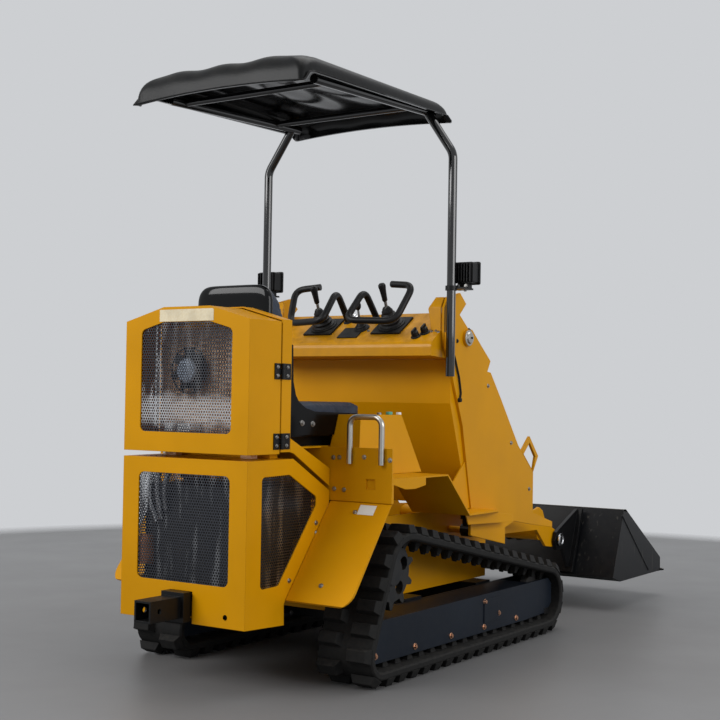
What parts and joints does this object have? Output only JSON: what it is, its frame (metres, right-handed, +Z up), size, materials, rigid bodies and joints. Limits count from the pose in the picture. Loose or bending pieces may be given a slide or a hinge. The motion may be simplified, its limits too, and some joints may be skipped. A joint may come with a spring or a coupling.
{
  "type": "compact track loader",
  "caption": "Small ride-on loader on rubber tracks, with a seat, a canopy, a control console, a lift arm with a bucket, and a hinged rear engine door.",
  "frame": {"origin": "middle of the footprint of the whole machine, on the ground under the tracks", "axes": "+X forward, towards the bucket; +Y to the machine's left; +Z up"},
  "size_m": [2.948, 0.956, 1.9318],
  "materials": {
    "yellow_paint": "satin",
    "black_paint": "satin",
    "frame_paint": "satin",
    "bucket_paint": "satin",
    "rubber": "matte",
    "bare_steel": "satin",
    "chrome": "polished",
    "cast": "matte",
    "core": "matte",
    "black_plastic": "matte",
    "gloss_black": "gloss",
    "seat_vinyl": "satin"
  },
  "bodies": {
    "machine": {"chassis": "yellow_paint", "cross_members": "black_paint", "track_frames": "frame_paint", "track_left": "rubber", "track_right": "rubber", "sprockets": "frame_paint", "front_idlers": "cast", "track_rollers": "cast", "engine_box": "yellow_paint", "engine_box_grilles": "black_paint", "engine_block": "cast", "frame_hinge_leaves": "black_paint", "bulkhead": "yellow_paint", "side_cowls": "yellow_paint", "radiator": "core", "fan_motor": "black_plastic", "receiver_hitch": "black_paint", "riser_plate": "yellow_paint", "fender_left": "yellow_paint", "fender_right": "yellow_paint", "side_tanks": "yellow_paint", "grab_handles": "chrome", "seat_base": "gloss_black", "seat_cushion": "seat_vinyl", "seat_back": "seat_vinyl", "tower_plates": "yellow_paint", "tower_wall": "yellow_paint", "console": "yellow_paint", "hand_loops": "black_paint", "joysticks": "black_plastic", "canopy_posts": "gloss_black", "canopy_rails": "gloss_black", "canopy_post_feet": "yellow_paint", "canopy_cross_tubes": "gloss_black", "canopy_roof": "gloss_black", "work_lamps": "black_plastic", "lamp_cables": "rubber"},
    "rear_door": {"rear_door": "yellow_paint", "rear_door_grille": "black_paint", "door_hinge_leaves": "black_paint"},
    "cooling_fan": {"cooling_fan": "black_plastic"},
    "lift_arm": {"lift_arm": "yellow_paint"},
    "bucket": {"attach_plate": "bucket_paint", "bucket": "bucket_paint"},
    "lift_barrel_left": {"lift_barrel_left": "black_paint"},
    "lift_barrel_right": {"lift_barrel_right": "black_paint"},
    "lift_rod_left": {"lift_rod_left": "chrome"},
    "lift_rod_right": {"lift_rod_right": "chrome"},
    "tilt_barrel": {"tilt_barrel": "black_paint"},
    "tilt_rod": {"tilt_rod": "chrome"}
  },
  "joints": [
    {"name": "rear_door_hinge", "type": "hinge", "parent": "machine", "child": "rear_door", "pos_m": [-1.154, -0.2515, 0.907], "axis": [0, 0, 1], "range_deg": [0, 110]},
    {"name": "fan_spin", "type": "hinge", "parent": "machine", "child": "cooling_fan", "pos_m": [-1.229, 0.048, 0.957], "axis": [1, 0, 0], "continuous": true},
    {"name": "lift", "type": "hinge", "parent": "machine", "child": "lift_arm", "pos_m": [-0.244, 0, 1.1], "axis": [0, -1, 0], "range_deg": [-3.8, 75]},
    {"name": "bucket_tilt", "type": "hinge", "parent": "lift_arm", "child": "bucket", "pos_m": [0.751, 0, 0.3], "axis": [0, -1, 0], "range_deg": [-100, 25]},
    {"name": "lift_barrel_left_turn", "type": "hinge", "parent": "machine", "child": "lift_barrel_left", "pos_m": [-0.109, 0.312, 0.407], "axis": [0, -1, 0], "range_deg": [-4.91, 0.72]},
    {"name": "lift_rod_left_slide", "type": "slide", "parent": "lift_barrel_left", "child": "lift_rod_left", "axis": [0.0296, 0, 0.9996], "range_m": [-0.0151, 0.2883]},
    {"name": "lift_barrel_right_turn", "type": "hinge", "parent": "machine", "child": "lift_barrel_right", "pos_m": [-0.109, -0.312, 0.407], "axis": [0, -1, 0], "range_deg": [-4.91, 0.72]},
    {"name": "lift_rod_right_slide", "type": "slide", "parent": "lift_barrel_right", "child": "lift_rod_right", "axis": [0.0296, 0, 0.9996], "range_m": [-0.0151, 0.2883]},
    {"name": "tilt_barrel_turn", "type": "hinge", "parent": "lift_arm", "child": "tilt_barrel", "pos_m": [0.191, 0, 0.582], "axis": [0, -1, 0], "range_deg": [-7.43, 2.23]},
    {"name": "tilt_rod_slide", "type": "slide", "parent": "tilt_barrel", "child": "tilt_rod", "axis": [0.9658, 0, -0.2595], "range_m": [-0.0505, 0.2004]}
  ],
  "couplings": [
    {"joint": "lift_barrel_left_turn", "follows": "lift", "ratio": -0.058769},
    {"joint": "lift_rod_left_slide", "follows": "lift", "m_per_rad": 0.21984},
    {"joint": "lift_barrel_right_turn", "follows": "lift", "ratio": -0.058769},
    {"joint": "lift_rod_right_slide", "follows": "lift", "m_per_rad": 0.21984},
    {"joint": "tilt_barrel_turn", "follows": "bucket_tilt", "ratio": 0.069257},
    {"joint": "tilt_rod_slide", "follows": "bucket_tilt", "m_per_rad": -0.11451}
  ]
}
